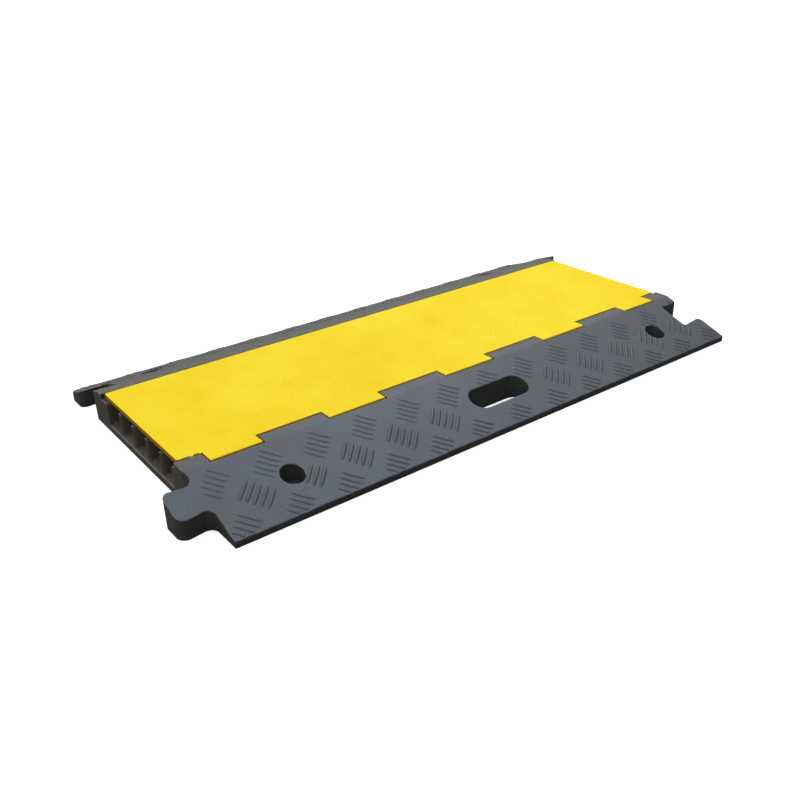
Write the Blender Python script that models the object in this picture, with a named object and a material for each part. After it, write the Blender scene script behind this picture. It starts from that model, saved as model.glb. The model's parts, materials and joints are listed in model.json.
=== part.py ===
"""Floor cord cover: a cable ramp with five channels under a hinged lid, one coupling unit long.

Run in Blender 4.5. Metres, +Z up. The origin is the middle of the footprint, on the floor. X runs along
the channels. The side towards -Y has the hinge and the hand slot.
"""
from math import cos, radians, sin

import bmesh
import bpy
from mathutils import Matrix

# Whole unit
RAMP_LENGTH = 0.900
WIDTH = 0.500
HEIGHT = 0.050
RAMP_RUN = 0.113
TOE_HEIGHT = 0.009
RAMP_SHIFT = 0.006  # each ramp lies this far towards its socket
BODY_LENGTH = 0.899  # the row of channels between the ramps

# Channels
CHANNELS = 5
CHANNEL_PITCH = 0.0438
DIVIDER_FOOT = 0.010
DIVIDER_TOP = 0.0086
DIVIDER_ROUND = 0.0025
CHANNEL_FLOOR = 0.010
CHANNEL_FILLET = 0.003

# Couplings: distances out from the ramp's end, and sideways from the unit's long middle line
TONGUE_REACH = 0.043
HEAD_NEAR = 0.1575
HEAD_FAR = 0.2015
HEAD_NEAR_RADIUS = 0.009
HEAD_FAR_RADIUS = 0.012
NECK_NEAR = 0.1595
NECK_FAR = 0.1985
NOTCH_DEPTH = 0.0025
NOTCH_RADIUS = 0.012
ROOT_RADIUS = 0.011
COUPLING_GAP = 0.002
SOCKET_RADIUS = 0.003  # the rounding of the socket's inner corners and of its near mouth

# Hand slot and fixing holes
SLOT_LENGTH = 0.103
SLOT_WIDTH = 0.036
SLOT_SIDE = 0.1925
HOLE_SPACING = 0.682
HOLE_SIDE = 0.195
COUNTERBORE_RADIUS = 0.0155
COUNTERBORE_FLOOR = 0.010
BOLT_RADIUS = 0.007

# Lid
LID_LENGTH = 0.888
LID_THICKNESS = 0.007
LID_REAR_GAP = 0.0015
LID_CORNER = 0.004
RIM = 0.012
SEAT_GAP = 0.0003
TAB_ENDS = ((-0.4118, -0.3392), (-0.2422, -0.1507), (-0.0454, 0.0454), (0.1507, 0.2422), (0.3392, 0.4118))
TAB_SIDE_GAP = 0.0015
BASE_TAB_DEPTH = 0.018
CORNER_TAB_DEPTH = 0.0235  # the base's tabs at both ends reach further under the lid's line
BASE_TAB_GAP = 0.002

# Hinge
HINGE_INSET = 0.0095  # the axis is this far behind the crest
HINGE_DROP = 0.005  # and this far below the top
KNUCKLE_DEPTH = 0.0105
KNUCKLE_REACH = 0.008  # the knuckle ends this far behind the axis
KNUCKLE_NOSE = 0.0015
KNUCKLE_CHIN = 0.0025
POCKET_FRONT = 0.0111  # the pocket's walls, from the axis
POCKET_REAR = 0.013
POCKET_DEPTH = 0.0165
ROD_RADIUS = 0.003
BORE_RADIUS = 0.0033
BORE_BLIND = 0.0115  # solid left between the bore's blind end and the end of the row of channels
ROD_END_GAP = 0.001

# Worked out from the above
CREST = WIDTH / 2 - RAMP_RUN
TONGUE_END = RAMP_LENGTH / 2 - RAMP_SHIFT
SOCKET_END = RAMP_LENGTH / 2 + RAMP_SHIFT
TIP = TONGUE_END + TONGUE_REACH
BODY_END = BODY_LENGTH / 2
LID_END = LID_LENGTH / 2
LID_BOTTOM = HEIGHT - LID_THICKNESS
SEAT = LID_BOTTOM - SEAT_GAP
RIM_INNER = CREST - RIM
LID_REAR = RIM_INNER - LID_REAR_GAP
HINGE_Y = HINGE_INSET - CREST
HINGE_Z = HEIGHT - HINGE_DROP
BASE_TAB_REAR = BASE_TAB_DEPTH - CREST
CORNER_TAB_REAR = CORNER_TAB_DEPTH - CREST
LID_FRONT = BASE_TAB_REAR + BASE_TAB_GAP
LID_CORNER_FRONT = CORNER_TAB_REAR + BASE_TAB_GAP
ROD_START = BORE_BLIND + ROD_END_GAP - BODY_END
ROD_END = BODY_END - ROD_END_GAP

OVERCUT = 0.002
ARC_STEPS = 6
HOLE_SIDES = 24
ROD_SIDES = 24
ALONG_X = Matrix(((0, 0, 1, 0), (1, 0, 0, 0), (0, 1, 0, 0), (0, 0, 0, 1)))


def clear_scene():
    for obj in list(bpy.data.objects):
        bpy.data.objects.remove(obj, do_unlink=True)


def make_material(name, colour, roughness, metallic=0.0):
    material = bpy.data.materials.new(name)
    material.use_nodes = True
    shader = material.node_tree.nodes["Principled BSDF"]
    shader.inputs["Base Color"].default_value = (*colour, 1.0)
    shader.inputs["Roughness"].default_value = roughness
    shader.inputs["Metallic"].default_value = metallic
    return material


def arc(centre, radius, start, end, steps=ARC_STEPS):
    """Points on an arc, both ends included, with angles in degrees."""
    angles = [radians(start + (end - start) * i / steps) for i in range(steps + 1)]
    return [(centre[0] + radius * cos(angle), centre[1] + radius * sin(angle)) for angle in angles]


def finished(name, bm):
    bmesh.ops.recalc_face_normals(bm, faces=bm.faces)
    mesh = bpy.data.meshes.new(name)
    bm.to_mesh(mesh)
    bm.free()
    obj = bpy.data.objects.new(name, mesh)
    bpy.context.scene.collection.objects.link(obj)
    return obj


def prism(name, outline, low, high, along="Z"):
    """A closed outline pushed from low to high: an outline of (x, y) along Z, or of (y, z) along X."""
    bm = bmesh.new()
    face = bm.faces.new([bm.verts.new((a, b, low)) for a, b in outline])
    pushed = bmesh.ops.extrude_face_region(bm, geom=[face])["geom"]
    moved = [item for item in pushed if isinstance(item, bmesh.types.BMVert)]
    bmesh.ops.translate(bm, verts=moved, vec=(0, 0, high - low))
    if along == "X":
        bmesh.ops.transform(bm, verts=bm.verts, matrix=ALONG_X)
    return finished(name, bm)


def use_boolean(target, helper, operation):
    helper.hide_render = True
    helper.display_type = "WIRE"
    modifier = target.modifiers.new(helper.name, "BOOLEAN")
    modifier.operation = operation
    modifier.solver = "EXACT"
    modifier.object = helper


def shade(obj, material):
    obj.data.materials.append(material)
    obj.data.shade_smooth()
    obj.data.set_sharp_from_angle(angle=radians(30))


def channel_outline(middle):
    """One channel from its rear lip down, over its floor and up to its front lip, as (y, z)."""
    foot = (CHANNEL_PITCH - DIVIDER_FOOT) / 2
    lip = (CHANNEL_PITCH - DIVIDER_TOP) / 2
    fillet, top = CHANNEL_FILLET, DIVIDER_ROUND
    rear = arc((lip + top, SEAT - top), top, 90, 180, 3)
    rear += arc((foot - fillet, CHANNEL_FLOOR + fillet), fillet, 0, -90, 3)
    front = [(-y, z) for y, z in reversed(rear)]
    return [(middle + y, z) for y, z in rear + front]


def base_section():
    """The moulding across its length, as (y, z), from the front toe along the floor and back over the top."""
    points = [(-WIDTH / 2, 0), (WIDTH / 2, 0), (WIDTH / 2, TOE_HEIGHT), (CREST, HEIGHT)]
    points += [(RIM_INNER, HEIGHT), (RIM_INNER, SEAT)]
    for i in reversed(range(CHANNELS)):
        points += channel_outline((i - (CHANNELS - 1) / 2) * CHANNEL_PITCH)
    points += [(CORNER_TAB_REAR, SEAT), (CORNER_TAB_REAR, HEIGHT), (-CREST, HEIGHT), (-WIDTH / 2, TOE_HEIGHT)]
    return points


def tongue_edge():
    """The front ramp's tongue end, from the row of channels to past the toe."""
    notch_middle = NECK_NEAR - NOTCH_RADIUS
    near, far = HEAD_NEAR_RADIUS, HEAD_FAR_RADIUS
    points = [(BODY_END, notch_middle - NOTCH_RADIUS)]
    points += arc((TONGUE_END + NOTCH_DEPTH + NOTCH_RADIUS, notch_middle), NOTCH_RADIUS, 180, 90)
    points += arc((TIP - near, HEAD_NEAR + near), near, -90, 0)
    points += arc((TIP - far, HEAD_FAR - far), far, 0, 90)
    points += arc((TONGUE_END + ROOT_RADIUS, NECK_FAR + ROOT_RADIUS), ROOT_RADIUS, -90, -180)
    points.append((TONGUE_END, WIDTH / 2 + OVERCUT))
    return [(-x, -y) for x, y in points]


def socket_edge():
    """The front ramp's socket end, from the row of channels to past the toe: room for the next tongue."""
    gap, r = COUPLING_GAP, SOCKET_RADIUS
    inner = SOCKET_END - TONGUE_REACH
    near, far = HEAD_NEAR - gap, HEAD_FAR + gap
    points = arc((BODY_END - r, near - r), r, 0, 90, 3)
    points += arc((inner + r, near + r), r, -90, -180, 3)
    points += arc((inner + r, far - r), r, 180, 90, 3)
    points += arc((SOCKET_END + gap - ROOT_RADIUS, NECK_FAR + ROOT_RADIUS), ROOT_RADIUS - gap, -90, 0)
    points.append((SOCKET_END, WIDTH / 2 + OVERCUT))
    return [(x, -y) for x, y in points]


def footprint():
    """The base seen from above. Its back half is its front half turned half round."""
    front = tongue_edge() + socket_edge()[::-1]
    return front + [(-x, -y) for x, y in front]


def stadium(centre, length, width):
    radius = width / 2
    reach = length / 2 - radius
    right = arc((centre[0] + reach, centre[1]), radius, -90, 90, 2 * ARC_STEPS)
    return right + arc((centre[0] - reach, centre[1]), radius, 90, 270, 2 * ARC_STEPS)


def turned(name, centre, profile):
    """A solid turned about an upright axis, from (radius, z) pairs with the lowest first."""
    bm = bmesh.new()
    rings = []
    for radius, z in profile:
        circle = arc(centre, radius, 0, 360, HOLE_SIDES)[:-1]
        rings.append([bm.verts.new((x, y, z)) for x, y in circle])
    for lower, upper in zip(rings, rings[1:]):
        for i in range(HOLE_SIDES):
            bm.faces.new((lower[i - 1], lower[i], upper[i], upper[i - 1]))
    bm.faces.new(rings[0][::-1])
    bm.faces.new(rings[-1])
    return finished(name, bm)


def cut_slot_and_holes(base):
    outline = stadium((RAMP_SHIFT, -SLOT_SIDE), SLOT_LENGTH, SLOT_WIDTH)
    use_boolean(base, prism("slot_cutter", outline, -OVERCUT, HEIGHT + OVERCUT), "DIFFERENCE")
    profile = [(BOLT_RADIUS, -OVERCUT), (BOLT_RADIUS, COUNTERBORE_FLOOR)]
    profile += [(COUNTERBORE_RADIUS, COUNTERBORE_FLOOR), (COUNTERBORE_RADIUS, HEIGHT + OVERCUT)]
    for side in (-1, 1):
        for end in (-1, 1):
            centre = (end * HOLE_SPACING / 2 - side * RAMP_SHIFT, side * HOLE_SIDE)
            use_boolean(base, turned("fixing_hole_cutter", centre, profile), "DIFFERENCE")


def cut_hinge(base):
    """The step back from the corner tabs, a pocket for each of the lid's tabs, and the rod's bore.

    The bore is blind at the -X end.
    """
    tabs_end = TAB_ENDS[-1][1] + TAB_SIDE_GAP
    behind = CORNER_TAB_REAR + OVERCUT
    step = [(BASE_TAB_REAR, SEAT), (behind, SEAT), (behind, HEIGHT + OVERCUT), (BASE_TAB_REAR, HEIGHT + OVERCUT)]
    use_boolean(base, prism("step_cutter", step, -tabs_end, tabs_end, "X"), "DIFFERENCE")
    front, rear = HINGE_Y - POCKET_FRONT, HINGE_Y + POCKET_REAR
    bottom = HEIGHT - POCKET_DEPTH
    top = HEIGHT + OVERCUT
    outline = [(front, bottom), (rear, bottom), (rear, top), (front, top)]
    for low, high in TAB_ENDS:
        pocket = prism("pocket_cutter", outline, low - TAB_SIDE_GAP, high + TAB_SIDE_GAP, "X")
        use_boolean(base, pocket, "DIFFERENCE")
    bore = prism("base_bore", rod_outline(BORE_RADIUS), BORE_BLIND - BODY_END, BODY_END + OVERCUT, "X")
    use_boolean(base, bore, "DIFFERENCE")


def rod_outline(radius):
    return arc((HINGE_Y, HINGE_Z), radius, 0, 360, ROD_SIDES)[:-1]


def make_base(material):
    base = prism("base", base_section(), -TIP - OVERCUT, TIP + OVERCUT, "X")
    use_boolean(base, prism("footprint", footprint(), -OVERCUT, HEIGHT + OVERCUT), "INTERSECT")
    cut_slot_and_holes(base)
    cut_hinge(base)
    shade(base, material)


def lid_section():
    """The lid across its length, as (y, z), with the tabs' thick knuckle round the hinge axis."""
    nose, chin = KNUCKLE_NOSE, KNUCKLE_CHIN
    bottom = HEIGHT - KNUCKLE_DEPTH
    points = [(LID_REAR, LID_BOTTOM), (LID_REAR, HEIGHT)]
    points += arc((nose - CREST, HEIGHT - nose), nose, 90, 180, 3)
    points += arc((chin - CREST, bottom + chin), chin, 180, 270, 4)
    points += [(HINGE_Y + KNUCKLE_REACH, bottom), (LID_FRONT, LID_BOTTOM)]
    return points


def lid_outline():
    """The lid seen from above: a sheet with rounded corners, and five tabs on its front edge."""
    r = LID_CORNER
    points = []
    for low, high in TAB_ENDS:
        points += [(low, LID_FRONT), (low, -CREST - OVERCUT), (high, -CREST - OVERCUT), (high, LID_FRONT)]
    points[0] = (points[0][0], LID_CORNER_FRONT)
    points[-1] = (points[-1][0], LID_CORNER_FRONT)
    points += arc((LID_END - r, LID_CORNER_FRONT + r), r, -90, 0, 3)
    points += arc((LID_END - r, LID_REAR - r), r, 0, 90, 3)
    points += arc((r - LID_END, LID_REAR - r), r, 90, 180, 3)
    points += arc((r - LID_END, LID_CORNER_FRONT + r), r, 180, 270, 3)
    return points


def make_lid(material):
    lid = prism("lid", lid_section(), -LID_END - OVERCUT, LID_END + OVERCUT, "X")
    use_boolean(lid, prism("lid_outline", lid_outline(), 0, HEIGHT + OVERCUT), "INTERSECT")
    use_boolean(lid, prism("lid_bore", rod_outline(BORE_RADIUS), -LID_END, LID_END, "X"), "DIFFERENCE")
    shade(lid, material)


def make_hinge_rod(material):
    shade(prism("hinge_rod", rod_outline(ROD_RADIUS), ROD_START, ROD_END, "X"), material)


def main():
    clear_scene()
    make_base(make_material("black_rubber", (0.055, 0.060, 0.068), 0.6))
    make_lid(make_material("yellow_plastic", (0.90, 0.68, 0.03), 0.5))
    make_hinge_rod(make_material("steel", (0.45, 0.45, 0.46), 0.35, 1.0))


main()
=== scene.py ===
import json
import math

import bmesh
import bpy
from mathutils import Matrix, Vector


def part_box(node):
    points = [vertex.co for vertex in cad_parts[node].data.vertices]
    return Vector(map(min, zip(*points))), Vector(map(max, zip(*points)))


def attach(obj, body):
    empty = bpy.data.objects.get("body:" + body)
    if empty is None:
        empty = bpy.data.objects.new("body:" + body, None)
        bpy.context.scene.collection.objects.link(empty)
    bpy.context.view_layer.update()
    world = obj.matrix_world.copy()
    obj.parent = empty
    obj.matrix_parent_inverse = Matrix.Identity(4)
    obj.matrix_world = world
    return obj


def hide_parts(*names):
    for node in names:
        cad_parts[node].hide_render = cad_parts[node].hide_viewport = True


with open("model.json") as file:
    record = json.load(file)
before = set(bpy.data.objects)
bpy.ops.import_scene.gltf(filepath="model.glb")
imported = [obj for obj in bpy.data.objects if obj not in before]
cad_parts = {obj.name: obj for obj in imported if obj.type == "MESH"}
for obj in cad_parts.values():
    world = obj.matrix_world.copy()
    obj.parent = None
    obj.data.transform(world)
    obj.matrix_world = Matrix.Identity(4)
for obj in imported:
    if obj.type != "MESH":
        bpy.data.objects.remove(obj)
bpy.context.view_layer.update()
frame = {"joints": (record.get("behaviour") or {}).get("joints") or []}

# The looks of a floor cord cover: a black rubber ramp with a yellow hinged lid. Metres, +Z up.

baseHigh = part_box("base")[1]
lidLow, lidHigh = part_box("lid")
hingePoint = Vector(frame["joints"][0]["pos_m"])
print("frame loaded")

# Sizes that several pieces share
cover = {
    "rampRun": 0.113,
    "toeHeight": 0.009,
    "rampLength": 0.900,
    "rampShift": 0.006,  # each ramp lies this far towards its socket
    "tabEnds": (
        (-0.4118, -0.3392), (-0.2422, -0.1507), (-0.0454, 0.0454), (0.1507, 0.2422), (0.3392, 0.4118),
    ),
    "boreRadius": 0.0033,
    "boreSides": 32,
    "overcut": 0.002,  # how far a cutter reaches past what it cuts
}
halfWidth = baseHigh.y
topHeight = baseHigh.z
crestY = halfWidth - cover["rampRun"]
slope = (topHeight - cover["toeHeight"]) / cover["rampRun"]
tongueEnd = cover["rampLength"] / 2 - cover["rampShift"]
socketEnd = cover["rampLength"] / 2 + cover["rampShift"]
overcut = cover["overcut"]
aboveTop = topHeight + overcut

# Mesh tools

meshValues = {
    "mergeWithin": 0.00002,
    "roundFrom": 28,  # degrees between two faces, above which their edge is rounded
    "roundSteps": 3,
    "miterSpread": 0.0005,
    "floorReach": 0.0005,  # edges on the floor and round the hinge's bore stay sharp
    "boreReach": 0.0045,
    "smoothUpTo": 32,  # degrees
}


def arcPoints(centre, radius, start, end, steps):
    angles = [math.radians(start + (end - start) * i / steps) for i in range(steps + 1)]
    return [(centre[0] + radius * math.cos(a), centre[1] + radius * math.sin(a)) for a in angles]


def circlePoints(centre, radius, sides):
    return arcPoints(centre, radius, 0, 360, sides)[:-1]


def rectangle(left, right, low, high):
    return [(left, low), (right, low), (right, high), (left, high)]


def addObject(name, data):
    obj = bpy.data.objects.new(name, data)
    bpy.context.scene.collection.objects.link(obj)
    return obj


def closedSolid(name, bm):
    bmesh.ops.recalc_face_normals(bm, faces=bm.faces)
    mesh = bpy.data.meshes.new(name)
    bm.to_mesh(mesh)
    bm.free()
    return addObject(name, mesh)


def pushedOutline(name, outline, low, high, alongX=False):
    # An outline of (x, y) pushed up, or of (y, z) pushed along X
    bm = bmesh.new()
    face = bm.faces.new([bm.verts.new((a, b, low)) for a, b in outline])
    pushed = bmesh.ops.extrude_face_region(bm, geom=[face])["geom"]
    moved = [item for item in pushed if isinstance(item, bmesh.types.BMVert)]
    bmesh.ops.translate(bm, verts=moved, vec=(0, 0, high - low))
    if alongX:
        turn = Matrix(((0, 0, 1, 0), (1, 0, 0, 0), (0, 1, 0, 0), (0, 0, 0, 1)))
        bmesh.ops.transform(bm, verts=bm.verts, matrix=turn)
    return closedSolid(name, bm)


def turnedSolid(name, centre, profile, sides):
    # Rings of (radius, z) round an upright axis, the lowest first
    bm = bmesh.new()
    rings = []
    for radius, z in profile:
        rings.append([bm.verts.new((x, y, z)) for x, y in circlePoints(centre, radius, sides)])
    for lower, upper in zip(rings, rings[1:]):
        for i in range(sides):
            bm.faces.new((lower[i - 1], lower[i], upper[i], upper[i - 1]))
    bm.faces.new(rings[0][::-1])
    bm.faces.new(rings[-1])
    return closedSolid(name, bm)


def applyModifiers(obj):
    graph = bpy.context.evaluated_depsgraph_get()
    mesh = bpy.data.meshes.new_from_object(obj.evaluated_get(graph))
    obj.modifiers.clear()
    obj.data = mesh


def carve(obj, steps):
    # Each step is an operation and the object that it uses, which is removed afterwards
    for operation, other in steps:
        modifier = obj.modifiers.new(other.name, "BOOLEAN")
        modifier.operation = operation
        modifier.solver = "EXACT"
        modifier.object = other
        applyModifiers(obj)
        bpy.data.objects.remove(other, do_unlink=True)


def atFloor(edge):
    return max(vert.co.z for vert in edge.verts) < meshValues["floorReach"]


def atBore(edge):
    middle = (edge.verts[0].co + edge.verts[1].co) / 2
    return (middle.yz - hingePoint.yz).length < meshValues["boreReach"]


def roundEdges(obj, radius):
    # Rounds the outer edges, and marks what is new in the attribute "edge" for the wear and the painted
    # highlight
    v = meshValues
    bm = bmesh.new()
    bm.from_mesh(obj.data)
    bmesh.ops.remove_doubles(bm, verts=bm.verts, dist=v["mergeWithin"])
    bmesh.ops.dissolve_degenerate(bm, edges=bm.edges, dist=v["mergeWithin"])
    sharp = math.radians(v["roundFrom"])
    outer = [e for e in bm.edges if len(e.link_faces) == 2 and e.is_convex and e.calc_face_angle() > sharp]
    picked = [e for e in outer if not atFloor(e) and not atBore(e)]
    made = bmesh.ops.bevel(
        bm, geom=picked, offset=radius, offset_type="OFFSET", segments=v["roundSteps"], profile=0.5,
        affect="EDGES", clamp_overlap=False, loop_slide=False, miter_outer="ARC", spread=v["miterSpread"],
    )
    rounded = set(made["faces"])
    bmesh.ops.delete(bm, geom=[e for e in bm.edges if e.is_wire], context="EDGES")
    layer = bm.verts.layers.float.new("edge")
    for vert in bm.verts:
        vert[layer] = 1.0 if vert.link_faces and all(face in rounded for face in vert.link_faces) else 0.0
    bm.to_mesh(obj.data)
    bm.free()


def markPaintedLightShade(obj, amountOf):
    # Where a piece gets its second colour, painted light on the rubber and painted shade on the lid, from
    # 0 to 1, in a face attribute
    amounts = [amountOf(face.center, face.normal) for face in obj.data.polygons]
    paintedLightShade = obj.data.attributes.new("paintedLightShade", "FLOAT", "FACE")
    paintedLightShade.data.foreach_set("value", amounts)


def smoothFaces(obj, degrees):
    obj.data.shade_smooth()
    obj.data.set_sharp_from_angle(angle=math.radians(degrees))


def evenNormals(obj):
    # Keeps the large flat faces flat where they meet the rounded edges
    smoothFaces(obj, meshValues["smoothUpTo"])
    weighted = obj.modifiers.new("evenNormals", "WEIGHTED_NORMAL")
    weighted.keep_sharp = True
    weighted.weight = 100


# Materials

def nodeGroup(name, inputs, output):
    # Inputs are a name and a default value each, after the vector that every group takes
    group = bpy.data.node_groups.new(name, "ShaderNodeTree")
    group.interface.new_socket("Vector", in_out="INPUT", socket_type="NodeSocketVector")
    for socketName, value in inputs:
        socket = group.interface.new_socket(socketName, in_out="INPUT", socket_type="NodeSocketFloat")
        socket.default_value = value
    group.interface.new_socket(output, in_out="OUTPUT", socket_type="NodeSocketFloat")
    return group, group.nodes.new("NodeGroupInput"), group.nodes.new("NodeGroupOutput")


def addNode(tree, kind, **values):
    node = tree.nodes.new(kind)
    for key, value in values.items():
        setattr(node, key, value)
    return node


def makeMottleGroup():
    # Soft uneven patches, as a mask from 0 to 1
    group, groupIn, groupOut = nodeGroup(
        "mottle", [("Scale", 20.0), ("Low", 0.35), ("High", 0.65)], "Mask",
    )
    clouds = addNode(group, "ShaderNodeTexNoise")
    clouds.inputs["Detail"].default_value = 5.0
    clouds.inputs["Roughness"].default_value = 0.6
    fit = addNode(group, "ShaderNodeMapRange")
    group.links.new(groupIn.outputs["Vector"], clouds.inputs["Vector"])
    group.links.new(groupIn.outputs["Scale"], clouds.inputs["Scale"])
    group.links.new(clouds.outputs["Fac"], fit.inputs["Value"])
    group.links.new(groupIn.outputs["Low"], fit.inputs["From Min"])
    group.links.new(groupIn.outputs["High"], fit.inputs["From Max"])
    group.links.new(fit.outputs["Result"], groupOut.inputs["Mask"])
    return group


def makeEdgeWearAndHighlightGroup():
    # Where the rounded edges are rubbed and carry a painted highlight: the "edge" attribute, broken up by
    # noise
    group, groupIn, groupOut = nodeGroup("edgeWearAndHighlight", [("Scale", 90.0), ("Amount", 0.6)], "Mask")
    edge = addNode(group, "ShaderNodeAttribute", attribute_name="edge")
    breakUp = addNode(group, "ShaderNodeTexNoise")
    breakUp.inputs["Detail"].default_value = 4.0
    fit = addNode(group, "ShaderNodeMapRange")
    fit.inputs["From Min"].default_value = 0.38
    fit.inputs["From Max"].default_value = 0.62
    patchy = addNode(group, "ShaderNodeMath", operation="MULTIPLY")
    scaled = addNode(group, "ShaderNodeMath", operation="MULTIPLY")
    group.links.new(groupIn.outputs["Vector"], breakUp.inputs["Vector"])
    group.links.new(groupIn.outputs["Scale"], breakUp.inputs["Scale"])
    group.links.new(breakUp.outputs["Fac"], fit.inputs["Value"])
    group.links.new(edge.outputs["Fac"], patchy.inputs[0])
    group.links.new(fit.outputs["Result"], patchy.inputs[1])
    group.links.new(patchy.outputs["Value"], scaled.inputs[0])
    group.links.new(groupIn.outputs["Amount"], scaled.inputs[1])
    group.links.new(scaled.outputs["Value"], groupOut.inputs["Mask"])
    return group


def makeGrainGroup():
    # The skin that a mould leaves: fine grain over slow waves, as a height
    group, groupIn, groupOut = nodeGroup(
        "mouldedGrain", [("Grain Scale", 1800.0), ("Wave Scale", 60.0), ("Wave Amount", 1.0)], "Height",
    )
    grain = addNode(group, "ShaderNodeTexNoise")
    grain.inputs["Detail"].default_value = 3.0
    waves = addNode(group, "ShaderNodeTexNoise")
    waves.inputs["Detail"].default_value = 2.0
    total = addNode(group, "ShaderNodeMath", operation="MULTIPLY_ADD")
    group.links.new(groupIn.outputs["Vector"], grain.inputs["Vector"])
    group.links.new(groupIn.outputs["Grain Scale"], grain.inputs["Scale"])
    group.links.new(groupIn.outputs["Vector"], waves.inputs["Vector"])
    group.links.new(groupIn.outputs["Wave Scale"], waves.inputs["Scale"])
    group.links.new(waves.outputs["Fac"], total.inputs[0])
    group.links.new(groupIn.outputs["Wave Amount"], total.inputs[1])
    group.links.new(grain.outputs["Fac"], total.inputs[2])
    group.links.new(total.outputs["Value"], groupOut.inputs["Height"])
    return group


mottleGroup = makeMottleGroup()
edgeWearAndHighlightGroup = makeEdgeWearAndHighlightGroup()
grainGroup = makeGrainGroup()


def placeGroup(tree, group, vector, **values):
    node = addNode(tree, "ShaderNodeGroup", node_tree=group)
    tree.links.new(vector, node.inputs["Vector"])
    for key, value in values.items():
        node.inputs[key].default_value = value
    return node


def mixColours(tree, mask, first, second):
    # A colour mix takes its mask at socket 0 and its colours at 6 and 7, and gives the result at 2
    mix = addNode(tree, "ShaderNodeMix", data_type="RGBA")
    tree.links.new(mask, mix.inputs[0])
    for socket, colour in ((mix.inputs[6], first), (mix.inputs[7], second)):
        if isinstance(colour, tuple):
            socket.default_value = (*colour, 1.0)
        else:
            tree.links.new(colour, socket)
    return mix.outputs[2]


def newMaterial(name):
    material = bpy.data.materials.new(name)
    material.use_nodes = True
    return material, material.node_tree, material.node_tree.nodes["Principled BSDF"]


def addGloss(tree, shader, mask, smooth, rough):
    gloss = addNode(tree, "ShaderNodeMapRange")
    gloss.inputs["To Min"].default_value = smooth
    gloss.inputs["To Max"].default_value = rough
    tree.links.new(mask, gloss.inputs["Value"])
    tree.links.new(gloss.outputs["Result"], shader.inputs["Roughness"])


def addBump(tree, shader, height, strength, distance):
    bump = addNode(tree, "ShaderNodeBump")
    bump.inputs["Strength"].default_value = strength
    bump.inputs["Distance"].default_value = distance
    tree.links.new(height, bump.inputs["Height"])
    tree.links.new(bump.outputs["Normal"], shader.inputs["Normal"])


rubberLook = {
    "dark": (0.033, 0.035, 0.038),
    "light": (0.043, 0.045, 0.048),
    "speck": (0.056, 0.058, 0.059),
    # a lighter colour on the rounded edges, partly rubbing and partly painted highlight
    "rubbedAndHighlit": (0.16, 0.16, 0.155),
    "paintedLightShade": (0.095, 0.081, 0.062),  # painted light inside the channels, which the lid shades
    "paintedLightShadeHigh": (0.135, 0.118, 0.090),
    "rubAndHighlight": 0.85,
    "patchScale": 14.0,
    "speckScale": 260.0,
    "smooth": 0.44,
    "rough": 0.54,
    "specular": 0.75,
    "skin": {"Grain Scale": 1500.0, "Wave Scale": 45.0, "Wave Amount": 1.4},
    "bump": 0.35,
    "bumpDistance": 0.0004,
}
yellowLook = {
    "dark": (0.855, 0.585, 0.000),
    "light": (0.915, 0.680, 0.022),
    "speck": (0.905, 0.662, 0.011),
    # a lighter colour on the rounded edges, partly rubbing and partly painted highlight
    "rubbedAndHighlit": (0.95, 0.76, 0.08),
    "paintedLightShade": (0.32, 0.145, 0.002),  # painted shade on the plate's sides, a dark orange-brown
    "paintedLightShadeHigh": (0.38, 0.175, 0.002),
    "rubAndHighlight": 0.4,
    "patchScale": 9.0,
    "speckScale": 180.0,
    "smooth": 0.42,
    "rough": 0.52,
    "specular": 0.06,
    "skin": {"Grain Scale": 1500.0, "Wave Scale": 35.0, "Wave Amount": 1.2},
    "bump": 0.22,
    "bumpDistance": 0.0004,
}
steelLook = {
    "bright": (0.55, 0.55, 0.56),
    "dull": (0.36, 0.35, 0.34),
    "tarnishScale": 40.0,
    "lineScale": 2500.0,
    "lineStretch": (0.05, 1.0, 1.0),
    "smooth": 0.28,
    "rough": 0.42,
    "bump": 0.2,
    "bumpDistance": 0.0001,
}


def mouldedMaterial(name, look):
    # Rubber and plastic share one build: mottled colour, rubbed edges with a painted highlight, a second
    # colour that is painted light on the rubber and painted shade on the plastic, uneven gloss and a
    # moulded skin
    material, tree, shader = newMaterial(name)
    shader.inputs["Specular IOR Level"].default_value = look["specular"]
    place = addNode(tree, "ShaderNodeTexCoord").outputs["Object"]
    patches = placeGroup(tree, mottleGroup, place, Scale=look["patchScale"]).outputs["Mask"]
    specks = placeGroup(tree, mottleGroup, place, Scale=look["speckScale"], Low=0.45, High=0.75)
    rubAndHighlight = placeGroup(tree, edgeWearAndHighlightGroup, place, Amount=look["rubAndHighlight"])
    skin = placeGroup(tree, grainGroup, place, **look["skin"])
    paintedLightShade = addNode(tree, "ShaderNodeAttribute", attribute_name="paintedLightShade")
    mottled = mixColours(tree, patches, look["dark"], look["light"])
    speckled = mixColours(tree, specks.outputs["Mask"], mottled, look["speck"])
    # lighter rounded edges: rubbing plus painted highlight
    rubbedAndHighlit = mixColours(tree, rubAndHighlight.outputs["Mask"], speckled, look["rubbedAndHighlit"])
    # The second colour is painted light in the rubber's channels and painted shade on the lid's sides
    paintedLightShadeColour = mixColours(tree, patches, look["paintedLightShade"], look["paintedLightShadeHigh"])
    withPaintedLightShade = mixColours(tree, paintedLightShade.outputs["Fac"], rubbedAndHighlit, paintedLightShadeColour)
    tree.links.new(withPaintedLightShade, shader.inputs["Base Color"])
    addGloss(tree, shader, patches, look["smooth"], look["rough"])
    addBump(tree, shader, skin.outputs["Height"], look["bump"], look["bumpDistance"])
    return material


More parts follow.
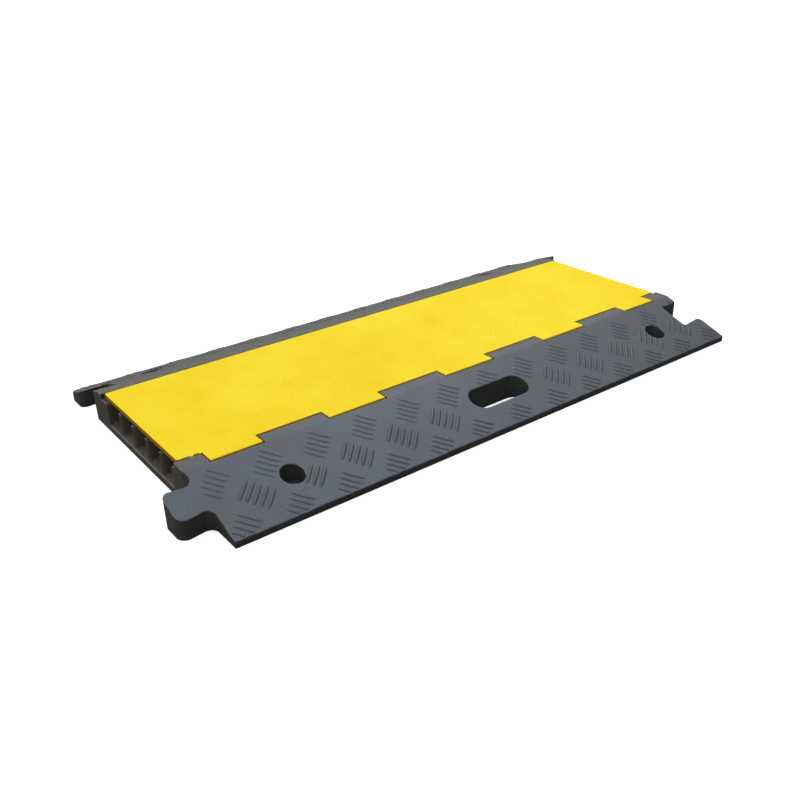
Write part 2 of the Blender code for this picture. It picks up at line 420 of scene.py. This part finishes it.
def steelMaterial():
    # Drawn rod: fine lines along a dull grey, with a little tarnish
    look = steelLook
    material, tree, shader = newMaterial("steel")
    shader.inputs["Metallic"].default_value = 1.0
    place = addNode(tree, "ShaderNodeTexCoord").outputs["Object"]
    stretch = addNode(tree, "ShaderNodeMapping")
    stretch.inputs["Scale"].default_value = look["lineStretch"]
    tree.links.new(place, stretch.inputs["Vector"])
    lines = placeGroup(tree, mottleGroup, stretch.outputs["Vector"], Scale=look["lineScale"])
    tarnish = placeGroup(tree, mottleGroup, place, Scale=look["tarnishScale"])
    colour = mixColours(tree, tarnish.outputs["Mask"], look["bright"], look["dull"])
    tree.links.new(colour, shader.inputs["Base Color"])
    addGloss(tree, shader, lines.outputs["Mask"], look["smooth"], look["rough"])
    addBump(tree, shader, lines.outputs["Mask"], look["bump"], look["bumpDistance"])
    return material


rubber = mouldedMaterial("blackRubber", rubberLook)
yellow = mouldedMaterial("yellowPlastic", yellowLook)
steel = steelMaterial()
print("materials made")

# Base: both ramps, the channels, the hinge tabs, the couplings and the holes

baseValues = {
    "bodyEnd": 0.4495,
    "channels": 5,
    "channelPitch": 0.0438,
    "dividerFoot": 0.010,
    "dividerTop": 0.0086,
    "dividerRound": 0.0036,
    "dividerSteps": 7,
    "channelFloor": 0.010,
    "channelFillet": 0.003,
    "filletSteps": 6,
    "seatHeight": 0.0427,
    "rim": 0.012,
    "baseTabDepth": 0.018,
    "cornerTabDepth": 0.0235,  # the tabs at both ends reach further under the lid's corners
    "noseTip": 0.0025,  # how far the dividers stop short of the end face
    "noseRound": 0.005,
    "noseSteps": 10,
    "paintedLightBelowFloor": 0.0003,  # the painted light starts this far below the channels' floor
    "paintedLightBelowSeat": 0.001,  # and ends this far below the lid's seat
    "lessPaintedLightOnNoses": 0.75,  # how much less painted light the dividers' fronts get
    "hornRound": 0.018,
    "crestRound": 0.020,
    "crestSteps": 2,
    "edgeRound": 0.0013,
    "pocketFront": 0.0111,
    "pocketRear": 0.013,
    "pocketDepth": 0.0165,
    "pocketSideGap": 0.0015,
    "boreBlind": 0.0115,
}
couplingValues = {
    "reach": 0.043,
    "headNear": 0.1575,
    "headFar": 0.2015,
    "headNearRadius": 0.009,
    "headFarRadius": 0.012,
    "neckNear": 0.1595,
    "neckFar": 0.1985,
    "notchDepth": 0.0025,
    "notchRadius": 0.012,
    "rootRadius": 0.011,
    "arcSteps": 12,
    "gap": 0.002,
    "socketCorner": 0.003,
    "cornerSteps": 8,
}
holeValues = {
    "slotLength": 0.103,
    "slotWidth": 0.036,
    "slotSide": 0.1925,
    "slotSteps": 24,
    "spacing": 0.682,
    "side": 0.195,
    "counterbore": 0.0155,
    "counterboreFloor": 0.010,
    "bolt": 0.007,
    "sides": 44,
}
channelsEdge = baseValues["channels"] * baseValues["channelPitch"] / 2 - baseValues["dividerFoot"] / 2


def channelSection(middle):
    v = baseValues
    foot = (v["channelPitch"] - v["dividerFoot"]) / 2
    lip = (v["channelPitch"] - v["dividerTop"]) / 2
    fillet, top = v["channelFillet"], v["dividerRound"]
    rear = arcPoints((lip + top, v["seatHeight"] - top), top, 90, 180, v["dividerSteps"])
    rear += arcPoints((foot - fillet, v["channelFloor"] + fillet), fillet, 0, -90, v["filletSteps"])
    front = [(-y, z) for y, z in reversed(rear)]
    return [(middle + y, z) for y, z in rear + front]


def crestArc(side):
    # The rounding where the ramp meets the flat top, from the ramp side inwards
    tilt = math.degrees(math.atan(slope))
    radius = baseValues["crestRound"]
    setback = radius * math.tan(math.radians(tilt / 2))
    centre = (crestY - setback, topHeight - radius)
    return [(side * y, z) for y, z in arcPoints(centre, radius, 90 - tilt, 90, baseValues["crestSteps"])]


def baseSection():
    # Along the floor, and back over the top from the back ramp to the front one
    v = baseValues
    rimInner = crestY - v["rim"]
    points = [(-halfWidth, 0), (halfWidth, 0), (halfWidth, cover["toeHeight"])]
    points += crestArc(1) + [(rimInner, topHeight), (rimInner, v["seatHeight"])]
    for i in reversed(range(v["channels"])):
        points += channelSection((i - (v["channels"] - 1) / 2) * v["channelPitch"])
    tabRear = v["cornerTabDepth"] - crestY
    points += [(tabRear, v["seatHeight"]), (tabRear, topHeight)]
    return points + crestArc(-1)[::-1] + [(-halfWidth, cover["toeHeight"])]


def tongueEdge():
    # The plan of the front ramp's left end, from the notch beside the channels to the toe
    c = couplingValues
    near, far, notch, root = c["headNearRadius"], c["headFarRadius"], c["notchRadius"], c["rootRadius"]
    steps = c["arcSteps"]
    tip = tongueEnd + c["reach"]
    notchMiddle = c["neckNear"] - notch
    points = [(baseValues["bodyEnd"], notchMiddle - notch)]
    points += arcPoints((tongueEnd + c["notchDepth"] + notch, notchMiddle), notch, 180, 90, steps)
    points += arcPoints((tip - near, c["headNear"] + near), near, -90, 0, steps)
    points += arcPoints((tip - far, c["headFar"] - far), far, 0, 90, steps)
    points += arcPoints((tongueEnd + root, c["neckFar"] + root), root, -90, -180, steps)
    points.append((tongueEnd, halfWidth + overcut))
    return [(-x, -y) for x, y in points]


def socketEdge(toeRound):
    # The plan of its right end: the shape that takes the next cover's tongue, with a gap all round
    c = couplingValues
    gap, corner, steps = c["gap"], c["socketCorner"], c["cornerSteps"]
    inner = socketEnd - c["reach"]
    near, far = c["headNear"] - gap, c["headFar"] + gap
    root = (socketEnd + gap - c["rootRadius"], c["neckFar"] + c["rootRadius"])
    points = arcPoints((baseValues["bodyEnd"] - corner, near - corner), corner, 0, 90, steps)
    points += arcPoints((inner + corner, near + corner), corner, -90, -180, steps)
    points += arcPoints((inner + corner, far - corner), corner, 180, 90, steps)
    points += arcPoints(root, c["rootRadius"] - gap, -90, 0, c["arcSteps"])
    if toeRound:
        points += arcPoints((socketEnd - toeRound, halfWidth - toeRound), toeRound, 0, 90, steps)
    points.append((socketEnd - toeRound, halfWidth + overcut))
    return [(x, -y) for x, y in points]


def mouthOutline():
    # The plan of what is cut away in front of the dividers' round noses at the right end
    v = baseValues
    radius = v["noseRound"]
    centreX = v["bodyEnd"] - v["noseTip"] - radius
    points = [(baseHigh.x, -channelsEdge), (centreX, -channelsEdge)]
    for i in range(1, v["channels"]):
        middle = (i - v["channels"] / 2) * v["channelPitch"]
        points += arcPoints((centreX, middle), radius, -90, 90, v["noseSteps"])
    return points + [(centreX, channelsEdge), (baseHigh.x, channelsEdge)]


def slotOutline():
    v = holeValues
    radius = v["slotWidth"] / 2
    reach = v["slotLength"] / 2 - radius
    right = (cover["rampShift"] + reach, -v["slotSide"])
    left = (cover["rampShift"] - reach, -v["slotSide"])
    points = arcPoints(right, radius, -90, 90, v["slotSteps"])
    return points + arcPoints(left, radius, 90, 270, v["slotSteps"])


def fixingCentres():
    for side in (-1, 1):
        for end in (-1, 1):
            yield (end * holeValues["spacing"] / 2 - side * cover["rampShift"], side * holeValues["side"])


def makeCutters():
    # All that is cut out of the base
    v, h = baseValues, holeValues
    for end in (-1, 1):
        mouth = [(end * x, y) for x, y in mouthOutline()]
        yield pushedOutline("mouthCutter", mouth, v["channelFloor"], aboveTop)
    gap = v["pocketSideGap"]
    shallow, deep = v["baseTabDepth"] - crestY, v["cornerTabDepth"] - crestY + overcut
    reach = cover["tabEnds"][-1][1] + gap
    step = rectangle(shallow, deep, v["seatHeight"], aboveTop)
    yield pushedOutline("stepCutter", step, -reach, reach, True)
    yield pushedOutline("slotCutter", slotOutline(), -overcut, aboveTop)
    profile = [(h["bolt"], -overcut), (h["bolt"], h["counterboreFloor"])]
    profile += [(h["counterbore"], h["counterboreFloor"]), (h["counterbore"], aboveTop)]
    for centre in fixingCentres():
        yield turnedSolid("holeCutter", centre, profile, h["sides"])
    front, rear = hingePoint.y - v["pocketFront"], hingePoint.y + v["pocketRear"]
    pocket = rectangle(front, rear, topHeight - v["pocketDepth"], aboveTop)
    for low, high in cover["tabEnds"]:
        yield pushedOutline("pocketCutter", pocket, low - gap, high + gap, True)
    bore = circlePoints(hingePoint.yz, cover["boreRadius"], cover["boreSides"])
    yield pushedOutline("boreCutter", bore, v["boreBlind"] - v["bodyEnd"], baseHigh.x, True)


def paintedLightInChannels(place, normal):
    # Painted light inside the channels, where the lid shades them, and less of it on the dividers' fronts
    v = baseValues
    low, high = v["channelFloor"] - v["paintedLightBelowFloor"], v["seatHeight"] - v["paintedLightBelowSeat"]
    if abs(place.y) < channelsEdge + v["edgeRound"] and low < place.z < high:
        return 1 - v["lessPaintedLightOnNoses"] * abs(normal.x)
    return 0.0


def makeBase():
    base = pushedOutline("baseMoulding", baseSection(), -baseHigh.x - overcut, baseHigh.x + overcut, True)
    front = tongueEdge() + socketEdge(0)[::-1]
    back = tongueEdge() + socketEdge(baseValues["hornRound"])[::-1]
    footprint = pushedOutline("footprint", front + [(-x, -y) for x, y in back], 0, aboveTop)
    carve(base, [("INTERSECT", footprint)] + [("DIFFERENCE", cutter) for cutter in makeCutters()])
    roundEdges(base, baseValues["edgeRound"])
    markPaintedLightShade(base, paintedLightInChannels)
    evenNormals(base)
    base.data.materials.append(rubber)
    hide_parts("base")
    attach(base, "base")
    return base


base = makeBase()
print("base made,", len(base.data.polygons), "faces")

# Lid: a plate with five tabs, thick where the hinge rod goes through

lidValues = {
    "thickness": 0.007,
    "front": -0.117,
    "cornerFront": -0.1115,  # beside the first and the last tab the plate stops further back
    "corner": 0.004,
    "cornerSteps": 8,
    "knuckleReach": 0.008,
    "knuckleNose": 0.0030,
    "noseSteps": 9,
    "knuckleChin": 0.0025,
    "chinSteps": 6,
    "edgeRound": 0.0014,
    "paintedShadeAbove": 0.0425,  # the painted shade is on the plate's sides, not on the knuckles below it
    "paintedShadeUpTo": 0.75,  # a side is a face whose normal rises less than this
}


def lidSection():
    v = lidValues
    nose, chin = v["knuckleNose"], v["knuckleChin"]
    under = topHeight - v["thickness"]
    points = [(lidHigh.y, under), (lidHigh.y, topHeight)]
    points += arcPoints((nose + lidLow.y, topHeight - nose), nose, 90, 180, v["noseSteps"])
    points += arcPoints((chin + lidLow.y, lidLow.z + chin), chin, 180, 270, v["chinSteps"])
    return points + [(hingePoint.y + v["knuckleReach"], lidLow.z), (v["front"], under)]


def lidPlan():
    v = lidValues
    front, cornerFront, corner, steps = v["front"], v["cornerFront"], v["corner"], v["cornerSteps"]
    right, rear = lidHigh.x - corner, lidHigh.y - corner
    points = []
    for low, high in cover["tabEnds"]:
        points += [(low, front), (low, lidLow.y - overcut), (high, lidLow.y - overcut), (high, front)]
    points[0] = (points[0][0], cornerFront)
    points[-1] = (points[-1][0], cornerFront)
    points += arcPoints((right, cornerFront + corner), corner, -90, 0, steps)
    points += arcPoints((right, rear), corner, 0, 90, steps)
    points += arcPoints((-right, rear), corner, 90, 180, steps)
    points += arcPoints((-right, cornerFront + corner), corner, 180, 270, steps)
    return points


def paintedShadeOnSides(place, normal):
    # Painted shade: the plate's sides are coloured a dark orange-brown
    return 1.0 if abs(normal.z) < lidValues["paintedShadeUpTo"] and place.z > lidValues["paintedShadeAbove"] else 0.0


def makeLid():
    lid = pushedOutline("lidPlate", lidSection(), lidLow.x - overcut, lidHigh.x + overcut, True)
    plan = pushedOutline("lidPlan", lidPlan(), 0, aboveTop)
    circle = circlePoints(hingePoint.yz, cover["boreRadius"], cover["boreSides"])
    bore = pushedOutline("lidBore", circle, lidLow.x, lidHigh.x, True)
    carve(lid, [("INTERSECT", plan), ("DIFFERENCE", bore)])
    roundEdges(lid, lidValues["edgeRound"])
    markPaintedLightShade(lid, paintedShadeOnSides)
    evenNormals(lid)
    lid.data.materials.append(yellow)
    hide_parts("lid")
    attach(lid, "lid")
    return lid


lid = makeLid()
print("lid made,", len(lid.data.polygons), "faces")

# Hinge rod, with a chamfer at each end

rodValues = {
    "radius": 0.003,
    "sides": 48,
    "chamfer": 0.0006,
    "chamferFrom": 60,  # degrees
    "smoothUpTo": 30,
}


def makeRod():
    rodLow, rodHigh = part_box("hinge_rod")
    outline = circlePoints(hingePoint.yz, rodValues["radius"], rodValues["sides"])
    rod = pushedOutline("hingeRod", outline, rodLow.x, rodHigh.x, True)
    bevel = rod.modifiers.new("chamfer", "BEVEL")
    bevel.width = rodValues["chamfer"]
    bevel.segments = 1
    bevel.limit_method = "ANGLE"
    bevel.angle_limit = math.radians(rodValues["chamferFrom"])
    applyModifiers(rod)
    smoothFaces(rod, rodValues["smoothUpTo"])
    rod.data.materials.append(steel)
    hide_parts("hinge_rod")
    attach(rod, "base")


makeRod()
print("rod made")

# Tread: groups of five raised bars, turned by a quarter from row to row

treadValues = {
    "bars": 5,
    "spacing": 0.0085,
    "width": 0.0052,
    "tipWidth": 0.6,  # the share of the width that is left at a bar's tips
    "taper": 2.6,  # how late a bar narrows towards its tips
    "leastTaper": 0.02,
    "plateau": 1.6,  # how soon from its tips a bar is at its full height
    "ring": (-1.0, -0.93, -0.78, -0.5, -0.1, 0.35, 0.75, 1.0),  # the points across a bar, uphill last
    "gentle": 2.3,  # the bars rise slowly on their uphill side
    "steep": 3.4,  # and fall sharply on the other
    "sunk": 0.0008,
    "stations": 13,
    "smoothUpTo": 50,  # degrees
    "testSteps": 40,  # a bar is tested at this many steps for what it may stand on
    "shortest": 0.3,  # and left out where less than this share of it would be left
    "margin": 0.0025,
    "holeMargin": 0.0024,
    "slotMargin": 0.0012,
    "lidMargin": 0.0045,
}
rampTreadValues = {
    "pitch": 0.0714,
    "beyond": 0.02,  # a group's middle may lie this far past the ramp's end
    "rows": (  # side is the distance from the middle line, and start the first group's place
        {"side": 0.1687, "start": -0.4249, "length": 0.0310, "angle": -45, "height": 0.0009},
        {"side": 0.2034, "start": -0.3882, "length": 0.0330, "angle": 45, "height": 0.0016},
        {"side": 0.2401, "start": -0.4249, "length": 0.0310, "angle": -45, "height": 0.0012},
    ),
}
lidTreadValues = {
    "pitch": 0.0683,  # from group to group, and from row to row of one kind
    "start": -0.3757,
    "sunk": 0.0004,  # the bars start this far below the plate's top, which makes them fainter
    "kinds": (  # side is the rearmost row's place, and shift a share of the pitch
        {"side": 0.070, "rows": 3, "shift": 0.0, "length": 0.0290, "angle": 45, "height": 0.00065},
        {"side": 0.104, "rows": 4, "shift": 0.5, "length": 0.0290, "angle": -45, "height": 0.00065},
    ),
}


def slotDistance(x, side):
    # From the middle line of the hand slot
    reach = (holeValues["slotLength"] - holeValues["slotWidth"]) / 2
    along = max(abs(x - cover["rampShift"]) - reach, 0)
    return math.hypot(along, side - holeValues["slotSide"])


def insideRamp(x, side, hasSlot):
    # True on the front ramp's sloping top, clear of its edges, holes and socket
    # side is the distance from the middle line
    t, c = treadValues, couplingValues
    margin = t["margin"]
    if not crestY + margin < side < halfWidth - margin:
        return False
    if not margin - tongueEnd <= x <= socketEnd - margin:
        return False
    near, far = c["headNear"] - c["gap"] - margin, c["headFar"] + c["gap"] + margin
    if x > socketEnd - c["reach"] - margin and near < side < far:
        return False
    if x > baseValues["bodyEnd"] - margin and side < c["headNear"]:
        return False
    holeReach = holeValues["counterbore"] + t["holeMargin"]
    for holeX, holeY in fixingCentres():
        if holeY < 0 and math.hypot(x - holeX, side + holeY) < holeReach:
            return False
    return not hasSlot or slotDistance(x, side) > holeValues["slotWidth"] / 2 + t["slotMargin"]


def insideLid(x, y):
    margin = treadValues["lidMargin"]
    if abs(x) > lidHigh.x - margin or y > lidHigh.y - margin:
        return False
    if y > lidValues["front"] + margin:
        return True
    onTab = any(low + margin < x < high - margin for low, high in cover["tabEnds"])
    return onTab and y > lidLow.y + margin


def longestFree(free):
    # The first point of the longest free stretch, and its length in steps
    longest, start = (0, 0), None
    for i, isFree in enumerate(free + [False]):
        if isFree and start is None:
            start = i
        if not isFree and start is not None:
            longest = max(longest, (i - 1 - start, -start))
            start = None
    return -longest[1], longest[0]


def addBar(verts, faces, centre, along, bar, isFree, heightAt):
    # One spindle-shaped ridge, cut short where the surface isn't free
    t = treadValues
    across = Vector((-along.y, along.x))
    steps = t["testSteps"]
    reach = bar["length"] / 2
    free = [isFree(*(centre + along * reach * (2 * i / steps - 1))) for i in range(steps + 1)]
    first, run = longestFree(free)
    if run < steps * t["shortest"]:
        return
    low, high = 2 * first / steps - 1, 2 * (first + run) / steps - 1
    start = len(verts)
    for k in range(t["stations"]):
        share = k / (t["stations"] - 1)
        u = low + (high - low) * (0.5 - 0.5 * math.cos(math.pi * share))
        taper = max(1 - abs(u) ** t["taper"], t["leastTaper"])
        half = t["width"] / 2 * (t["tipWidth"] + (1 - t["tipWidth"]) * taper)
        rise = bar["height"] * min(1.0, taper * t["plateau"])
        middle = centre + along * reach * u
        for w in t["ring"]:
            point = middle + across * half * w
            lift = rise * (1 - abs(w) ** (t["gentle"] if w > 0 else t["steep"]))
            verts.append((point.x, point.y, heightAt(point.x, point.y) + lift))
        for w in (1.0, -1.0):
            point = middle + across * half * w
            verts.append((point.x, point.y, heightAt(point.x, point.y) - t["sunk"]))
    size = len(t["ring"]) + 2
    last = start + (t["stations"] - 1) * size
    for a in range(start, last, size):
        for i in range(size):
            j = (i + 1) % size
            faces.append((a + i, a + size + i, a + size + j, a + j))
    faces.append(tuple(range(start, start + size)))
    faces.append(tuple(reversed(range(last, last + size))))


def addGroup(verts, faces, middle, bar, isFree, heightAt):
    t = treadValues
    angle = math.radians(bar["angle"])
    along = Vector((math.cos(angle), math.sin(angle)))
    across = Vector((-along.y, along.x))
    for i in range(t["bars"]):
        centre = middle + across * t["spacing"] * (i - (t["bars"] - 1) / 2)
        addBar(verts, faces, centre, along, bar, isFree, heightAt)


def addTread(name, verts, faces, material, body):
    bm = bmesh.new()
    points = [bm.verts.new(place) for place in verts]
    for face in faces:
        bm.faces.new([points[i] for i in face])
    tread = closedSolid(name, bm)
    smoothFaces(tread, treadValues["smoothUpTo"])
    tread.data.materials.append(material)
    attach(tread, body)


def makeRampTread(name, isFront):
    # The back ramp's tread is the front one's turned half round, but runs on where that has its slot
    def isFree(x, y):
        return insideRamp(x, -y, isFront)

    def heightAt(x, y):
        return topHeight - slope * (-y - crestY)

    verts, faces = [], []
    for row in rampTreadValues["rows"]:
        x = row["start"]
        while x < socketEnd + rampTreadValues["beyond"]:
            overSlot = slotDistance(x, row["side"]) < holeValues["slotWidth"] / 2
            if not (isFront and overSlot):
                addGroup(verts, faces, Vector((x, -row["side"])), row, isFree, heightAt)
            x += rampTreadValues["pitch"]
    if not isFront:
        verts = [(-x, -y, z) for x, y, z in verts]
    addTread(name, verts, faces, rubber, "base")


def makeLidTread():
    v = lidTreadValues

    def heightAt(x, y):
        return topHeight - v["sunk"]

    verts, faces = [], []
    for kind in v["kinds"]:
        for i in range(kind["rows"]):
            x = v["start"] - v["pitch"] * kind["shift"]
            while x < lidHigh.x:
                middle = Vector((x, kind["side"] - v["pitch"] * i))
                addGroup(verts, faces, middle, kind, insideLid, heightAt)
                x += v["pitch"]
    addTread("lidTread", verts, faces, yellow, "lid")


makeRampTread("frontTread", True)
makeRampTread("backTread", False)
makeLidTread()
print("tread made")

# Camera, floor and lights

cameraValues = {
    "place": (-0.77493, -1.00231, 0.58643),
    "yaw": 0.64254,  # from +Y towards +X
    "pitch": 0.46987,  # downwards
    "roll": -0.02589,
    "focalPixels": 884.18,
    "imagePixels": 800,
    "sensor": 36.0,
    "nearest": 0.01,
    "furthest": 100,
}
lightValues = {
    "low": (1.34, 1.18, 0.80),  # the sky near the horizon
    "high": (1.28, 1.46, 1.80),  # and overhead
    "lowEnds": 0.45,  # the heights, as sines, where the one ends and the other begins
    "highBegins": 0.85,
    "brightest": (-0.25, 0.52, 0.82),  # the sky is brightest in this direction, and dark opposite to it
    "darkFrom": -0.35,
    "darkest": 0.07,
    "seen": (1.0, 1.0, 1.0),
    "key": {"place": (1.00, 0.72, 1.82), "size": 1.8, "power": 13.8, "colour": (0.84, 0.98, 1.20)},
}
floorValues = {
    "half": 30.0,
    "roughness": 0.9,
    "seen": (0.90, 0.90, 0.90),
    "glow": (0.60, 0.60, 0.60),
    "bounced": (0.10, 0.10, 0.10),
}
black = (0.0, 0.0, 0.0)


def makeCamera():
    v = cameraValues
    yaw, pitch, roll = v["yaw"], v["pitch"], v["roll"]
    ahead = Vector((math.sin(yaw) * math.cos(pitch), math.cos(yaw) * math.cos(pitch), -math.sin(pitch)))
    level = Vector((math.cos(yaw), -math.sin(yaw), 0.0))
    upright = level.cross(ahead)
    right = math.cos(roll) * level + math.sin(roll) * upright
    up = -math.sin(roll) * level + math.cos(roll) * upright
    data = bpy.data.cameras.new("photoCamera")
    data.sensor_width = v["sensor"]
    data.lens = v["focalPixels"] / v["imagePixels"] * v["sensor"]
    data.clip_start = v["nearest"]
    data.clip_end = v["furthest"]
    camera = addObject("photoCamera", data)
    turn = Matrix((right, up, -ahead)).transposed().to_4x4()
    camera.matrix_world = Matrix.Translation(v["place"]) @ turn
    bpy.context.scene.camera = camera


def makeFloor():
    # White to the camera, and a quiet grey to the piece that stands on it
    v = floorValues
    mesh = bpy.data.meshes.new("floor")
    corners = rectangle(-v["half"], v["half"], -v["half"], v["half"])
    mesh.from_pydata([(x, y, 0) for x, y in corners], [], [(0, 1, 2, 3)])
    floor = addObject("floor", mesh)
    material, tree, shader = newMaterial("paleFloor")
    shader.inputs["Roughness"].default_value = v["roughness"]
    shader.inputs["Specular IOR Level"].default_value = 0.0
    shader.inputs["Emission Strength"].default_value = 1.0
    direct = addNode(tree, "ShaderNodeLightPath").outputs["Is Camera Ray"]
    tree.links.new(mixColours(tree, direct, v["bounced"], v["seen"]), shader.inputs["Base Color"])
    tree.links.new(mixColours(tree, direct, black, v["glow"]), shader.inputs["Emission Color"])
    mesh.materials.append(material)


def makeSoftbox(name, values):
    data = bpy.data.lights.new(name, "AREA")
    data.shape = "SQUARE"
    data.size = values["size"]
    data.energy = values["power"]
    data.color = values["colour"]
    light = addObject(name, data)
    light.location = values["place"]
    light.rotation_euler = (-Vector(values["place"])).to_track_quat("-Z", "Y").to_euler()


def makeWorld():
    # A soft sky, cool overhead and warm below, brighter behind the piece; the camera sees plain white
    v = lightValues
    world = bpy.data.worlds.new("studio")
    world.use_nodes = True
    tree = world.node_tree
    background = tree.nodes["Background"]
    direction = addNode(tree, "ShaderNodeTexCoord").outputs["Generated"]
    parts = addNode(tree, "ShaderNodeSeparateXYZ")
    tree.links.new(direction, parts.inputs["Vector"])
    height = addNode(tree, "ShaderNodeMapRange")
    height.inputs["From Min"].default_value = v["lowEnds"]
    height.inputs["From Max"].default_value = v["highBegins"]
    tree.links.new(parts.outputs["Z"], height.inputs["Value"])
    towards = addNode(tree, "ShaderNodeVectorMath", operation="DOT_PRODUCT")
    towards.inputs[1].default_value = v["brightest"]
    tree.links.new(direction, towards.inputs[0])
    brightness = addNode(tree, "ShaderNodeMapRange")
    brightness.inputs["From Min"].default_value = v["darkFrom"]
    brightness.inputs["To Min"].default_value = v["darkest"]
    tree.links.new(towards.outputs["Value"], brightness.inputs["Value"])
    sky = mixColours(tree, height.outputs["Result"], v["low"], v["high"])
    shaded = mixColours(tree, brightness.outputs["Result"], black, sky)
    direct = addNode(tree, "ShaderNodeLightPath").outputs["Is Camera Ray"]
    tree.links.new(mixColours(tree, direct, shaded, v["seen"]), background.inputs["Color"])
    bpy.context.scene.world = world


makeCamera()
makeFloor()
makeSoftbox("keySoftbox", lightValues["key"])
makeWorld()
bpy.context.scene.view_settings.view_transform = "Standard"
print("camera, floor and lights made")
